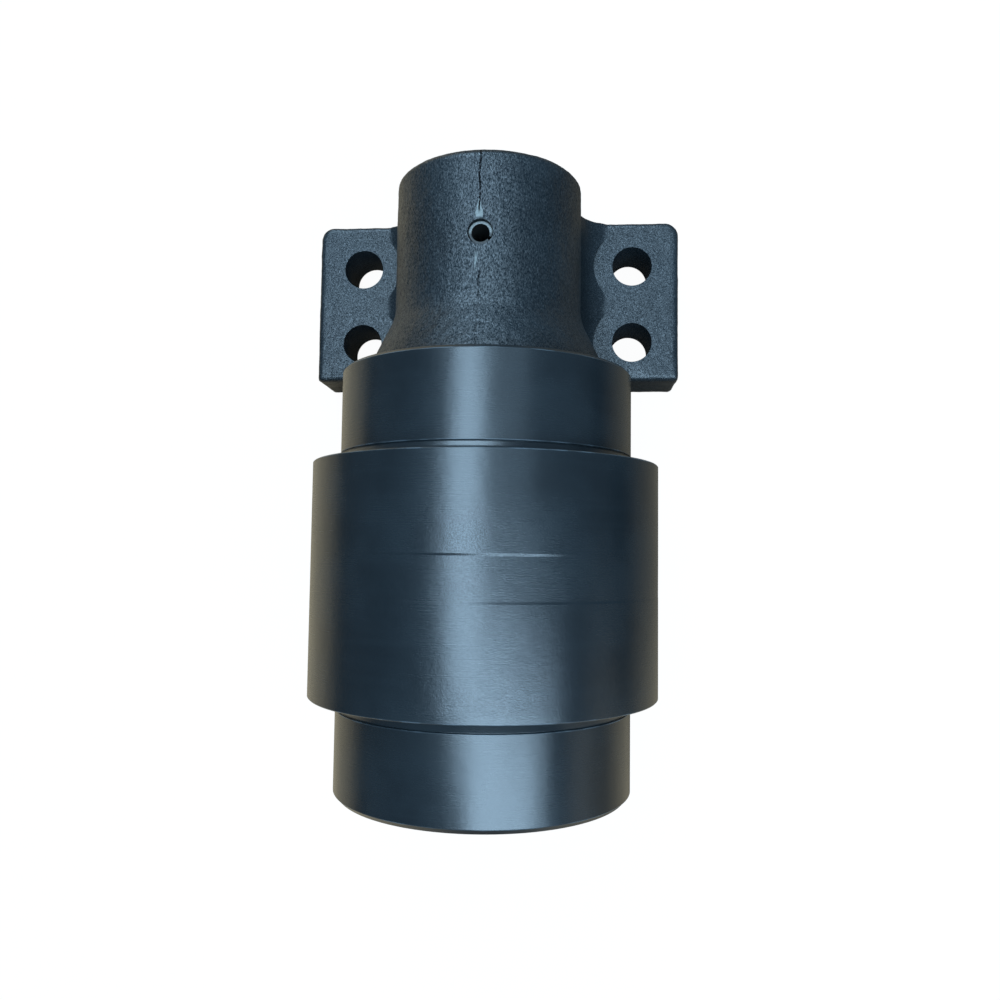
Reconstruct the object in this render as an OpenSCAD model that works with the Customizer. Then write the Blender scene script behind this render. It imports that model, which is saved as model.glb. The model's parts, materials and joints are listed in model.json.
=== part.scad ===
// Top (carrier) roller of a crawler excavator's track, on its cantilever mounting bracket.
// Origin: centre of the four-bolt pattern, on the bracket's mounting face.
// +Z points from the mounting face up to the roller, +X across the mounting plate, and
// +Y along the roller's axis from the roller's free end to the bracket's boss.
// A station is a distance along the roller's axis towards the free end, so station = -Y.

/* [Roller shell] */
// Diameter of the raised band between the two treads
flange_d = 142; // [140:1:146]
// Diameter of the treads that the track links run on
tread_d = 120; // [118:1:124]
// Length of the shell along its axis
shell_len = 170; // [166:1:180]
// Length of the tread next to the bracket
inner_tread_len = 38; // [34:1:42]
// Length of the tread at the free end
outer_tread_len = 39; // [35:1:43]
// Width of the relief groove at the foot of each shoulder
relief_w = 5; // [4:0.5:7]
// Depth of that groove below the tread
relief_depth = 1; // [0.6:0.1:1.5]
// Width of the weld bead's machined band on the flange
weld_band_w = 17; // [10:1:24]

/* [Mounting bracket] */
// Width of the plate, across the roller's axis
plate_w = 170; // [164:1:190]
// Length of the plate, along the roller's axis
plate_len = 75; // [74:1:80]
// Thickness of the plate
plate_t = 28; // [24:1:32]
// Diameter of the four bolt holes
bolt_hole_d = 18; // [16:1:20]
// Distance between bolt holes across the roller's axis
bolt_span_x = 127; // [124:1:132]
// Distance between bolt holes along the roller's axis
bolt_span_y = 36; // [34:1:40]
// Distance from the hole pattern's centre to the plate's edge at the boss's end
plate_back = 39; // [38:1:40]
// Diameter of the round boss that holds the shaft
boss_d = 78; // [76:1:82]
// Diameter of the collar that enters the shell
collar_d = 100; // [98:1:102]

/* [Shaft and bearings] */
// Diameter of the shaft
shaft_d = 50; // [48:1:52]
// Diameter of the hole for the spring pin
pin_d = 10; // [8:1:12]
// Wall of the two bushes
bush_wall = 4; // [3.5:0.5:5]
// Length of each bush's sleeve
bush_len = 34; // [28:1:40]
// Radial clearance between a bush and the shaft
running_gap = 0.05; // [0.03:0.01:0.1]

/* [Hidden] */

round_fn = 144;
small_fn = 48;
overshoot = 1;
press_gap = 0.02;
seat_gap = 0.1;

// Colours
paint = "#20262c";
forged_steel = "#6d7074";
ground_steel = "#9ea2a6";
zinc = "#a7a49a";
bronze = "#a9824a";
nitrile = "#151515";
seal_iron = "#7f8488";
copper = "#b0714b";

// The roller's axis stands a boss radius above the plate
axis_h = plate_t + boss_d / 2;
flange_r = flange_d / 2;
tread_r = tread_d / 2;
boss_r = boss_d / 2;
collar_r = collar_d / 2;
shaft_r = shaft_d / 2;
pin_r = pin_d / 2;
bush_r = shaft_r + bush_wall;

// Stations along the roller's axis
boss_end = -plate_back;
plate_front = plate_len - plate_back;
shell_start = plate_front + 7;
shell_end = shell_start + shell_len;
inner_shoulder = shell_start + inner_tread_len;
outer_shoulder = shell_end - outer_tread_len;
weld_start = (inner_shoulder + outer_shoulder - weld_band_w) / 2 - 2;
weld_end = weld_start + weld_band_w;

// Plate and pedestal
plate_corner_r = 6;
plate_edge_r = 2.2;
front_corner_r = 1.5;
pedestal_half_w = boss_r - 1;
pedestal_fillet_r = 14;
bolt_clearance_r = 18;

// Boss and neck: the neck widens from the boss to the collar as a cone
boss_chamfer = 2.4;
neck_start = 14;
neck_fillet_r = 24;
neck_angle = 26;
pin_station = -5.6;
pin_depth_past_shaft = 12;
pin_recess = 1.6;
pin_wall = 1.5;
pin_slot_w = 1.8;
pin_slot_angle = -32;

// Face seal: two lapped rings, each carried by a rubber toric
seal_face = shell_start + 10;
seal_half_depth = 10.6;
seal_cavity_r = 45.8;
seal_bore_r = 34.5;
seal_tail_r = 38.2;
seal_lip_r = 44.5;
seal_lip_t = 2.7;
seal_tail_len = 9;
seal_face_gap = 0.05;
toric_r = 3.7;
toric_offset = 6.7;
hub_r = 33;
labyrinth_gap = 0.8;
collar_clearance = 0.5;
edge_break = 0.6;

// Bearing space inside the shell, in stations
hub_end = seal_face + 8.2;
thrust_t = 2.6;
thrust_gap = 0.2;
thrust_r = 32.6;
bush_flange_t = 3.4;
bush_flange_r = 33;
inner_bush_start = hub_end + thrust_t + 2 * thrust_gap;
outer_bush_end = shell_end - 28;
reservoir_r = bush_r + 2.5;
shaft_end = outer_bush_end + thrust_t + 2 * thrust_gap;
shaft_start = boss_end + 2;

// O-ring in the shaft's groove, inside the boss
shaft_groove_start = seal_face - 24;
shaft_groove_w = 4;
shaft_groove_depth = 2.8;
shaft_o_ring_r = 1.35;

// Retainer on the shaft's end, and the cover over it
retainer_r = 36;
retainer_t = 6;
retainer_bolt_r = 5;
retainer_bolt_pcr = 14.5;
retainer_bolt_len = 24;
bolt_count = 3;
bolt_head_r = 9.2;
bolt_head_t = 6.4;
washer_r = 9;
washer_t = 2.2;
retainer_end = shaft_end + retainer_t;
retainer_space_r = 40;
cover_seat = retainer_end + 1.5;
cover_r = 45;
cover_rim_t = 9.6;
cover_web_t = 4;
cover_rim_w = 7;
snap_ring_start = cover_seat + cover_rim_t + seat_gap;
snap_ring_t = 2.2;
snap_groove_depth = 2.4;
plug_thread_r = 8;
plug_head_r = 11.5;
plug_head_t = 3;
plug_washer_t = 1.4;
bolt_head_room = 0.8;
cover_face = retainer_end + washer_t + bolt_head_t + bolt_head_room + cover_web_t;
cover_groove_start = cover_seat + 3;
cover_groove_w = 3.6;
cover_groove_depth = 2.7;
cover_o_ring_r = 1.3;

// Points along an arc, from one angle to another
function arc(centre, r, from, to, steps = 8) = [
    for (i = [0 : steps])
        let (a = from + (to - from) * i / steps)
        [centre[0] + r * cos(a), centre[1] + r * sin(a)]
];

// Outline of a rectangle with its four corners cut at 45 degrees
function bevelled(r_in, r_out, start, end, bevel) = [
    [r_in, start + bevel],
    [r_in + bevel, start],
    [r_out - bevel, start],
    [r_out, start + bevel],
    [r_out, end - bevel],
    [r_out - bevel, end],
    [r_in + bevel, end],
    [r_in, end - bevel]
];

// Places a shape whose own z is a station and whose own x and y are row X and Z
module on_roller_axis() {
    translate([0, 0, axis_h]) rotate([90, 0, 0]) children();
}

// Turns an outline of [radius, station] points about the roller's axis
module turned(outline) {
    on_roller_axis() rotate_extrude($fn = round_fn) polygon(outline);
}

// A plain ring about the roller's axis
module turned_ring(r_in, r_out, start, end, bevel = 0.3) {
    turned(bevelled(r_in, r_out, start, end, bevel));
}

// A round section turned about the roller's axis
module turned_toric(r_centre, r_section, station) {
    on_roller_axis()
        rotate_extrude($fn = round_fn)
            translate([r_centre, station]) circle(r = r_section, $fn = small_fn);
}

// Puts its children at each bolt hole of the plate
module at_bolt_holes() {
    for (x = [-bolt_span_x / 2, bolt_span_x / 2])
        for (y = [-bolt_span_y / 2, bolt_span_y / 2])
            translate([x, y, 0]) children();
}

// Puts its children at each bolt of the shaft's retainer, with z as a station
module at_retainer_bolts() {
    on_roller_axis()
        for (i = [0 : bolt_count - 1])
            rotate([0, 0, 90 + i * 360 / bolt_count])
                translate([retainer_bolt_pcr, 0, 0]) children();
}

// The pin's own axis runs down through the boss and across the shaft
module along_pin(top, bottom, r) {
    translate([0, -pin_station, bottom]) cylinder(h = top - bottom, r = r, $fn = small_fn);
}

// Mounting plate: three crossed outlines give it round corners and round upper edges
module plate() {
    half_w = plate_w / 2;
    intersection() {
        linear_extrude(plate_t)
            polygon(concat(
                arc([half_w - plate_corner_r, plate_back - plate_corner_r], plate_corner_r, 0, 90),
                arc([plate_corner_r - half_w, plate_back - plate_corner_r], plate_corner_r, 90, 180),
                arc([front_corner_r - half_w, front_corner_r - plate_front], front_corner_r, 180, 270),
                arc([half_w - front_corner_r, front_corner_r - plate_front], front_corner_r, 270, 360)
            ));
        translate([0, plate_back + overshoot, 0])
            rotate([90, 0, 0])
                linear_extrude(plate_len + 2 * overshoot)
                    polygon(concat(
                        [[-half_w - overshoot, -overshoot], [half_w + overshoot, -overshoot]],
                        [[half_w + overshoot, plate_t / 2], [half_w, plate_t / 2]],
                        arc([half_w - plate_edge_r, plate_t - plate_edge_r], plate_edge_r, 0, 90),
                        arc([plate_edge_r - half_w, plate_t - plate_edge_r], plate_edge_r, 90, 180),
                        [[-half_w, plate_t / 2], [-half_w - overshoot, plate_t / 2]]
                    ));
        translate([-half_w - overshoot, 0, 0])
            rotate([90, 0, 90])
                linear_extrude(plate_w + 2 * overshoot)
                    polygon(concat(
                        [[-plate_front - overshoot, -overshoot], [plate_back + overshoot, -overshoot]],
                        [[plate_back + overshoot, plate_t / 2], [plate_back, plate_t / 2]],
                        arc([plate_back - plate_edge_r, plate_t - plate_edge_r], plate_edge_r, 0, 90),
                        [[-plate_front - overshoot, plate_t]]
                    ));
    }
}

// Web between the plate and the boss, with a concave foot cut back round the bolt heads
module pedestal() {
    foot = pedestal_half_w + pedestal_fillet_r;
    difference() {
        translate([0, plate_back, 0])
            rotate([90, 0, 0])
                linear_extrude(plate_len)
                    polygon(concat(
                        [[-foot, plate_t / 2], [foot, plate_t / 2]],
                        arc([foot, plate_t + pedestal_fillet_r], pedestal_fillet_r, 270, 180, 10),
                        [[pedestal_half_w, axis_h], [-pedestal_half_w, axis_h]],
                        arc([-foot, plate_t + pedestal_fillet_r], pedestal_fillet_r, 0, -90, 10)
                    ));
        at_bolt_holes()
            translate([0, 0, plate_t]) cylinder(h = plate_t, r = bolt_clearance_r, $fn = round_fn);
    }
}

// Boss, neck and collar, turned as one outline round the shaft
module boss_and_neck() {
    cone_r = boss_r + neck_fillet_r * (1 - cos(neck_angle));
    cone_station = neck_start + neck_fillet_r * sin(neck_angle);
    cone_end = cone_station + (collar_r - cone_r) / tan(neck_angle);
    collar_end = seal_face - collar_clearance;
    turned(concat(
        [[0, boss_end], [boss_r - boss_chamfer, boss_end], [boss_r, boss_end + boss_chamfer]],
        arc([boss_r + neck_fillet_r, neck_start], neck_fillet_r, 180, 180 - neck_angle, 6),
        [[collar_r, cone_end], [collar_r, collar_end - edge_break], [collar_r - edge_break, collar_end]],
        [[hub_r, collar_end], [hub_r, hub_end - edge_break], [hub_r - edge_break, hub_end], [0, hub_end]]
    ));
}

module bracket() {
    bore_len = hub_end - boss_end;
    color(paint)
        difference() {
            union() {
                plate();
                pedestal();
                boss_and_neck();
            }
            on_roller_axis()
                translate([0, 0, boss_end - overshoot])
                    cylinder(h = bore_len + 2 * overshoot, r = shaft_r + press_gap, $fn = round_fn);
            turned([
                [hub_r, seal_face - seal_half_depth],
                [seal_cavity_r, seal_face - seal_half_depth],
                [seal_cavity_r, seal_face],
                [hub_r, seal_face]
            ]);
            along_pin(axis_h + boss_r + overshoot, axis_h - shaft_r - pin_depth_past_shaft, pin_r);
            at_bolt_holes()
                translate([0, 0, -overshoot])
                    cylinder(h = plate_t + 2 * overshoot, d = bolt_hole_d, $fn = round_fn);
        }
}

module shaft() {
    groove_end = shaft_groove_start + shaft_groove_w;
    chamfer = 1.5;
    centre_hole_r = 3.5;
    color(ground_steel)
        difference() {
            turned([
                [0, shaft_start],
                [shaft_r - chamfer, shaft_start],
                [shaft_r, shaft_start + chamfer],
                [shaft_r, shaft_groove_start],
                [shaft_r - shaft_groove_depth, shaft_groove_start],
                [shaft_r - shaft_groove_depth, groove_end],
                [shaft_r, groove_end],
                [shaft_r, shaft_end - chamfer],
                [shaft_r - chamfer, shaft_end],
                [0, shaft_end]
            ]);
            along_pin(axis_h + boss_r, axis_h - boss_r, pin_r);
            turned([[0, shaft_start - overshoot], [centre_hole_r + 1, shaft_start - overshoot],
                [centre_hole_r, shaft_start], [0, shaft_start + 6]]);
            at_retainer_bolts()
                translate([0, 0, shaft_end - retainer_bolt_len])
                    cylinder(h = retainer_bolt_len + overshoot, r = retainer_bolt_r, $fn = small_fn);
        }
}

// Rubber ring that keeps the oil from creeping out along the shaft through the boss
module shaft_o_ring() {
    middle = shaft_groove_start + shaft_groove_w / 2;
    color(nitrile) turned_toric(shaft_r - shaft_groove_depth / 2, shaft_o_ring_r, middle);
}

// Slotted spring pin across the boss and the shaft
module spring_pin() {
    top = axis_h + boss_r - pin_recess;
    bottom = axis_h - shaft_r - pin_depth_past_shaft + 2;
    outer_r = pin_r - 2 * press_gap;
    color(zinc)
        difference() {
            along_pin(top, bottom, outer_r);
            along_pin(top + overshoot, bottom - overshoot, outer_r - pin_wall);
            translate([0, -pin_station, bottom - overshoot])
                rotate([0, 0, pin_slot_angle])
                    translate([0, -pin_slot_w / 2, 0])
                        cube([2 * pin_r, pin_slot_w, top - bottom + 2 * overshoot]);
        }
}

// One lapped seal ring; side is -1 towards the bracket and +1 towards the shell
module seal_ring(side) {
    face = seal_face + side * seal_face_gap;
    lip_back = face + side * seal_lip_t;
    tail = face + side * seal_tail_len;
    color(seal_iron)
        turned([
            [seal_bore_r, face],
            [seal_lip_r - 0.5, face],
            [seal_lip_r, face + side * 0.5],
            [seal_lip_r, lip_back],
            [seal_tail_r, lip_back],
            [seal_tail_r, tail - side * 0.4],
            [seal_tail_r - 0.4, tail],
            [seal_bore_r, tail]
        ]);
}

module seal_ring_fixed() { seal_ring(-1); }

module seal_ring_turning() { seal_ring(1); }

// Rubber toric between a seal ring and its housing; side as for the seal rings
module seal_toric(side) {
    color(nitrile)
        turned_toric((seal_tail_r + seal_cavity_r) / 2, toric_r, seal_face + side * toric_offset);
}

module seal_toric_fixed() { seal_toric(-1); }

module seal_toric_turning() { seal_toric(1); }

module inner_thrust_washer() {
    color(ground_steel)
        turned_ring(shaft_r + running_gap, thrust_r, hub_end + thrust_gap, hub_end + thrust_gap + thrust_t);
}

module outer_thrust_washer() {
    start = outer_bush_end + thrust_gap;
    color(ground_steel) turned_ring(shaft_r + running_gap, thrust_r, start, start + thrust_t);
}

// Flanged bearing bush; the flange is at the station given, and the sleeve runs away from it
module bush(flange_station, side) {
    flange_back = flange_station + side * bush_flange_t;
    sleeve_end = flange_back + side * bush_len;
    bore = shaft_r + running_gap;
    color(bronze)
        turned([
            [bore + 0.4, flange_station],
            [bush_flange_r, flange_station],
            [bush_flange_r, flange_back],
            [bush_r - press_gap, flange_back],
            [bush_r - press_gap, sleeve_end - side * 0.6],
            [bush_r - press_gap - 0.6, sleeve_end],
            [bore, sleeve_end],
            [bore, flange_station + side * 0.4]
        ]);
}

module inner_bush() { bush(inner_bush_start, 1); }

module outer_bush() { bush(outer_bush_end, -1); }

module retainer_plate() {
    color(forged_steel)
        difference() {
            turned([
                [0, shaft_end],
                [retainer_r - 1, shaft_end],
                [retainer_r, shaft_end + 1],
                [retainer_r, retainer_end - 1],
                [retainer_r - 1, retainer_end],
                [0, retainer_end]
            ]);
            at_retainer_bolts()
                translate([0, 0, shaft_end - overshoot])
                    cylinder(h = retainer_t + 2 * overshoot, r = retainer_bolt_r + 0.3, $fn = small_fn);
        }
}

// Split washers under the retainer's bolt heads
module lock_washers() {
    split_w = 1.2;
    color(zinc)
        at_retainer_bolts()
            translate([0, 0, retainer_end + press_gap])
                difference() {
                    cylinder(h = washer_t - 2 * press_gap, r = washer_r, $fn = small_fn);
                    translate([0, 0, -overshoot])
                        cylinder(h = washer_t + 2 * overshoot, r = retainer_bolt_r + 0.3, $fn = small_fn);
                    translate([0, -split_w / 2, -overshoot])
                        cube([2 * washer_r, split_w, washer_t + 2 * overshoot]);
                }
}

module retainer_bolts() {
    shank_start = shaft_end - retainer_bolt_len + 3;
    head_start = retainer_end + washer_t;
    color(zinc)
        at_retainer_bolts() {
            translate([0, 0, shank_start])
                cylinder(h = head_start - shank_start + 1, r = retainer_bolt_r - 0.05, $fn = small_fn);
            translate([0, 0, head_start]) cylinder(h = bolt_head_t, r = bolt_head_r, $fn = 6);
        }
}

// Roller shell: two treads with a raised band between them, bored for the bearings and seals
module roller_shell() {
    relief_slope = 0.6;
    relief_floor_w = 0.4;
    foot_r = relief_w - relief_slope - relief_floor_w;
    inner_foot = inner_shoulder - foot_r;
    outer_foot = outer_shoulder + foot_r;
    groove_r = tread_r - relief_depth;
    band_step = 0.25;
    edge = 0.9;
    start_chamfer = 1.2;
    end_chamfer = 2;
    groove_start = snap_ring_start - seat_gap;
    groove_end = snap_ring_start + snap_ring_t + seat_gap;
    color(paint)
        turned(concat(
            [[collar_r + labyrinth_gap + 1, shell_start], [tread_r - start_chamfer, shell_start]],
            [[tread_r, shell_start + start_chamfer], [tread_r, inner_shoulder - relief_w]],
            [[groove_r, inner_shoulder - relief_w + relief_slope]],
            arc([groove_r + foot_r, inner_foot], foot_r, 180, 90, 6),
            [[flange_r - edge, inner_shoulder], [flange_r, inner_shoulder + edge]],
            [[flange_r, weld_start], [flange_r - band_step, weld_start + band_step]],
            [[flange_r - band_step, weld_end - band_step], [flange_r, weld_end]],
            [[flange_r, outer_shoulder - edge], [flange_r - edge, outer_shoulder]],
            arc([groove_r + foot_r, outer_foot], foot_r, 270, 180, 6),
            [[groove_r, outer_shoulder + relief_w - relief_slope], [tread_r, outer_shoulder + relief_w]],
            [[tread_r, shell_end - end_chamfer], [tread_r - end_chamfer, shell_end]],
            [[cover_r + 1, shell_end], [cover_r, shell_end - 1]],
            [[cover_r, groove_end], [cover_r + snap_groove_depth, groove_end]],
            [[cover_r + snap_groove_depth, groove_start], [cover_r, groove_start]],
            [[cover_r, cover_seat], [retainer_space_r, cover_seat]],
            [[retainer_space_r, outer_bush_end - bush_flange_t], [bush_r, outer_bush_end - bush_flange_t]],
            [[bush_r, outer_bush_end - bush_flange_t - bush_len]],
            [[reservoir_r, outer_bush_end - bush_flange_t - bush_len - 2]],
            [[reservoir_r, inner_bush_start + bush_flange_t + bush_len + 2]],
            [[bush_r, inner_bush_start + bush_flange_t + bush_len]],
            [[bush_r, inner_bush_start + bush_flange_t]],
            [[bush_flange_r + 0.2, inner_bush_start + bush_flange_t]],
            [[bush_flange_r + 0.2, seal_face + seal_half_depth]],
            [[seal_cavity_r, seal_face + seal_half_depth], [seal_cavity_r, seal_face + collar_clearance]],
            [[collar_r + labyrinth_gap, seal_face + collar_clearance]],
            [[collar_r + labyrinth_gap, shell_start + 1]]
        ));
}

// Dished cover with an O-ring groove in its rim and a tapped boss for the plug
module end_cover() {
    rim_r = cover_r - seat_gap;
    groove_floor = rim_r - cover_groove_depth;
    groove_end = cover_groove_start + cover_groove_w;
    rim_end = cover_seat + cover_rim_t;
    web_start = cover_face - cover_web_t;
    color(forged_steel)
        turned([
            [plug_thread_r, web_start],
            [rim_r - 2 * cover_rim_w, web_start],
            [rim_r - cover_rim_w, cover_seat + 4],
            [rim_r - cover_rim_w, cover_seat],
            [rim_r - 1, cover_seat],
            [rim_r, cover_seat + 1],
            [rim_r, cover_groove_start],
            [groove_floor, cover_groove_start],
            [groove_floor, groove_end],
            [rim_r, groove_end],
            [rim_r, rim_end],
            [rim_r - 9, rim_end],
            [rim_r - 11, cover_face],
            [plug_thread_r, cover_face]
        ]);
}

module cover_o_ring() {
    middle = cover_groove_start + cover_groove_w / 2;
    centre_r = cover_r - seat_gap - cover_groove_depth / 2;
    color(nitrile) turned_toric(centre_r, cover_o_ring_r, middle);
}

// Internal snap ring, open at the top, with an eyed lug on each end
module snap_ring() {
    ring_r = cover_r + snap_groove_depth - 0.2;
    inside_r = cover_r - 2.6;
    opening_w = 12;
    lug_r = 3.4;
    lug_angle = 11.5;
    lug_pcr = inside_r - 1;
    color(ground_steel)
        on_roller_axis()
            translate([0, 0, snap_ring_start])
                difference() {
                    union() {
                        difference() {
                            cylinder(h = snap_ring_t, r = ring_r, $fn = round_fn);
                            translate([0, 0, -overshoot])
                                cylinder(h = snap_ring_t + 2 * overshoot, r = inside_r, $fn = round_fn);
                            translate([-opening_w / 2, 0, -overshoot])
                                cube([opening_w, 2 * ring_r, snap_ring_t + 2 * overshoot]);
                        }
                        for (a = [90 - lug_angle, 90 + lug_angle])
                            rotate([0, 0, a])
                                translate([lug_pcr, 0, 0])
                                    cylinder(h = snap_ring_t, r = lug_r, $fn = small_fn);
                    }
                    for (a = [90 - lug_angle, 90 + lug_angle])
                        rotate([0, 0, a])
                            translate([lug_pcr, 0, -overshoot])
                                cylinder(h = snap_ring_t + 2 * overshoot, r = 1.3, $fn = small_fn);
                }
}

// Oil filler plug with a hexagon socket
module filler_plug() {
    head_start = cover_face + plug_washer_t;
    thread_start = cover_face - cover_web_t;
    socket_r = 4.6;
    socket_depth = 4.5;
    color(zinc)
        difference() {
            turned([
                [0, thread_start],
                [plug_thread_r - 1, thread_start],
                [plug_thread_r - 0.05, thread_start + 1],
                [plug_thread_r - 0.05, head_start],
                [plug_head_r, head_start],
                [plug_head_r, head_start + plug_head_t - 0.6],
                [plug_head_r - 0.6, head_start + plug_head_t],
                [0, head_start + plug_head_t]
            ]);
            on_roller_axis()
                translate([0, 0, head_start + plug_head_t - socket_depth])
                    cylinder(h = socket_depth + overshoot, r = socket_r, $fn = 6);
        }
}

module plug_washer() {
    color(copper)
        turned_ring(plug_thread_r + 0.2, plug_head_r, cover_face, cover_face + plug_washer_t, 0.2);
}

bracket();
shaft();
spring_pin();
shaft_o_ring();
seal_ring_fixed();
seal_toric_fixed();
inner_thrust_washer();
outer_thrust_washer();
retainer_plate();
lock_washers();
retainer_bolts();
roller_shell();
inner_bush();
outer_bush();
seal_ring_turning();
seal_toric_turning();
end_cover();
cover_o_ring();
snap_ring();
filler_plug();
plug_washer();
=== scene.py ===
"""Looks of the top track roller: turned shell, cast bracket and the small parts that show."""

import json
import math

import bmesh
import bpy
from mathutils import Matrix, Vector, noise


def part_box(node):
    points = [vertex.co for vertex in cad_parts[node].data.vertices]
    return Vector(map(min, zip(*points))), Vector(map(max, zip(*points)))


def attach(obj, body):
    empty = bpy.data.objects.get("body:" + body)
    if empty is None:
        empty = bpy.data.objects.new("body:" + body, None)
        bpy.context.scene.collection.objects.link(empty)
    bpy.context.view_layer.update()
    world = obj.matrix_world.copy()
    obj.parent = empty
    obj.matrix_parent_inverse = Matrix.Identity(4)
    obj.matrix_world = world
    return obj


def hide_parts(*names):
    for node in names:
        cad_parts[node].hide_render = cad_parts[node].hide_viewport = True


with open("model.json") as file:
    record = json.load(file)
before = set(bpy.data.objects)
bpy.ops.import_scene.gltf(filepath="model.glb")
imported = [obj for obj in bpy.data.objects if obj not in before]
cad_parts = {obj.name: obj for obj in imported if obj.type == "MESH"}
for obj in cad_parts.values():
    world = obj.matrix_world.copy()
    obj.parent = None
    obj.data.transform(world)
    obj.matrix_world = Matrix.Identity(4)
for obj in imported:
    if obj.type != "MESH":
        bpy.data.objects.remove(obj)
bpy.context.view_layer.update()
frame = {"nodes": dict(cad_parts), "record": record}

MM = 0.001
NODES = frame["nodes"]
RECORD = frame["record"]
SPIN = next(j for j in RECORD["behaviour"]["joints"] if j["name"] == "roller_spin")
BOLTS = next(m for m in RECORD["mounts"] if m["name"] == "bracket_bolts")

# Places and sizes in mm, from the frame. A station is a distance along the roller's axis: -Y.
AXIS_Z = SPIN["pos_m"][2] / MM
HOLE_R = BOLTS["dims"]["hole_r_mm"]
HOLE_X = BOLTS["dims"]["spacing_x_mm"] / 2
HOLE_Y = BOLTS["dims"]["spacing_y_mm"] / 2
BOLT_HOLES = [(sx * HOLE_X, sy * HOLE_Y) for sx in (-1, 1) for sy in (-1, 1)]


def low(node, axis):
    """Where a node's CAD box starts along an axis, in mm."""
    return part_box(node)[0][axis] / MM


def high(node, axis):
    """Where a node's CAD box ends along an axis, in mm."""
    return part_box(node)[1][axis] / MM


X, Y, Z = range(3)
SHELL_START = -high("roller_shell", Y)
SHELL_END = -low("roller_shell", Y)
FLANGE_R = high("roller_shell", X)
BOSS_END = -high("bracket", Y)
HUB_END = -low("bracket", Y)
PLATE_HALF_W = high("bracket", X)
COLLAR_R = high("bracket", Z) - AXIS_Z
SHAFT_R = high("shaft", X)
PIN_TOP = high("spring_pin", Z)
PIN_BOTTOM = low("spring_pin", Z)
PIN_Y = (low("spring_pin", Y) + high("spring_pin", Y)) / 2
PIN_R = (high("spring_pin", Y) - low("spring_pin", Y)) / 2
WEB_START = -high("filler_plug", Y)
COVER_FACE = -high("plug_washer", Y)
PLUG_START = -low("plug_washer", Y)

# Driving sizes of the design that no box gives
TREAD_R = 60.0
INNER_TREAD = 38.0
OUTER_TREAD = 39.0
INNER_RELIEF = 4.0
OUTER_RELIEF = 5.0
BOSS_R = 39.0
PLATE_T = 28.0
PLATE_FRONT = 36.0
HUB_R = 33.0
PIN_WALL = 1.5
SEAL_HALF_GAP = 0.5
SEAL_DEPTH = 10.6
BAND_HALF_W = 8.5
BAND_DEPTH = 0.24
STEP_W = 0.8
PAINT_GAP = 0.02

INNER_SHOULDER = SHELL_START + INNER_TREAD
OUTER_SHOULDER = SHELL_END - OUTER_TREAD
BAND_MIDDLE = (INNER_SHOULDER + OUTER_SHOULDER) / 2 - 2
BAND_START = BAND_MIDDLE - BAND_HALF_W
BAND_END = BAND_MIDDLE + BAND_HALF_W
SEAL_FACE = SHELL_START + 10
COUNTERBORE_R = COLLAR_R + 0.8
BORE_R = SHAFT_R + PAINT_GAP
PIN_HOLE_R = PIN_R + 0.04


# ---------------------------------------------------------------- outlines and meshes


def arc(centre, radius, start, end, steps):
    """Points along an arc between two angles in degrees."""
    out = []
    for i in range(steps + 1):
        a = math.radians(start + (end - start) * i / steps)
        out.append((centre[0] + radius * math.cos(a), centre[1] + radius * math.sin(a)))
    return out


def rounded(outline, closed=True, steps=6):
    """An outline of (x, y) or (x, y, radius) points with each corner that has a radius rounded off."""
    out = []
    n = len(outline)
    for i, corner in enumerate(outline):
        here = Vector(corner[:2])
        radius = corner[2] if len(corner) > 2 else 0
        if not radius or (not closed and i in (0, n - 1)):
            out.append(tuple(here))
            continue
        to_last = (Vector(outline[i - 1][:2]) - here).normalized()
        to_next = (Vector(outline[(i + 1) % n][:2]) - here).normalized()
        half = to_last.angle(to_next) / 2
        centre = here + (to_last + to_next).normalized() * radius / math.sin(half)
        first = here + to_last * radius / math.tan(half) - centre
        last = here + to_next * radius / math.tan(half) - centre
        for k in range(steps + 1):
            spoke = first.slerp(last, k / steps)
            out.append(tuple(centre + spoke.normalized() * radius))
    return out


def supported(outline, margin=0.12, longest=6.0, closed=True):
    """The outline with extra points along each long side, so that smooth shading stays flat on it."""
    out = []
    n = len(outline)
    for i in range(n if closed else n - 1):
        a = Vector(outline[i])
        b = Vector(outline[(i + 1) % n])
        side = b - a
        out.append(tuple(a))
        if side.length > 6 * margin:
            step = side.normalized() * margin
            pieces = max(1, math.ceil(side.length / longest))
            out.append(tuple(a + step))
            for k in range(1, pieces):
                out.append(tuple(a + side * k / pieces))
            out.append(tuple(b - step))
    if not closed:
        out.append(tuple(outline[-1]))
    return out


def new_object(name, bm):
    """Links a bmesh in mm as an object in metres, smooth except across sharp edges."""
    bmesh.ops.transform(bm, matrix=Matrix.Scale(MM, 4), verts=bm.verts)
    mesh = bpy.data.meshes.new(name)
    bm.to_mesh(mesh)
    bm.free()
    mesh.polygons.foreach_set("use_smooth", [True] * len(mesh.polygons))
    mesh.set_sharp_from_angle(angle=math.radians(35))
    obj = bpy.data.objects.new(name, mesh)
    bpy.context.scene.collection.objects.link(obj)
    return obj


def roller_point(radius, station, angle):
    """A point at a radius and station of the roller's axis; angle 0 is straight up."""
    return Vector((radius * math.sin(angle), -station, AXIS_Z + radius * math.cos(angle)))


def upright(x, y):
    """Placing function for a lathe about an upright axis."""
    def place(radius, height, angle):
        return Vector((x + radius * math.cos(angle), y + radius * math.sin(angle), height))
    return place


def beside_axis(pitch_r, turn):
    """Placing function for a lathe parallel to the roller's axis; turn 0 puts it straight above."""
    def place(radius, station, angle):
        return Vector((pitch_r * math.sin(turn) + radius * math.sin(angle), -station,
                       AXIS_Z + pitch_r * math.cos(turn) + radius * math.cos(angle)))
    return place


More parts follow.
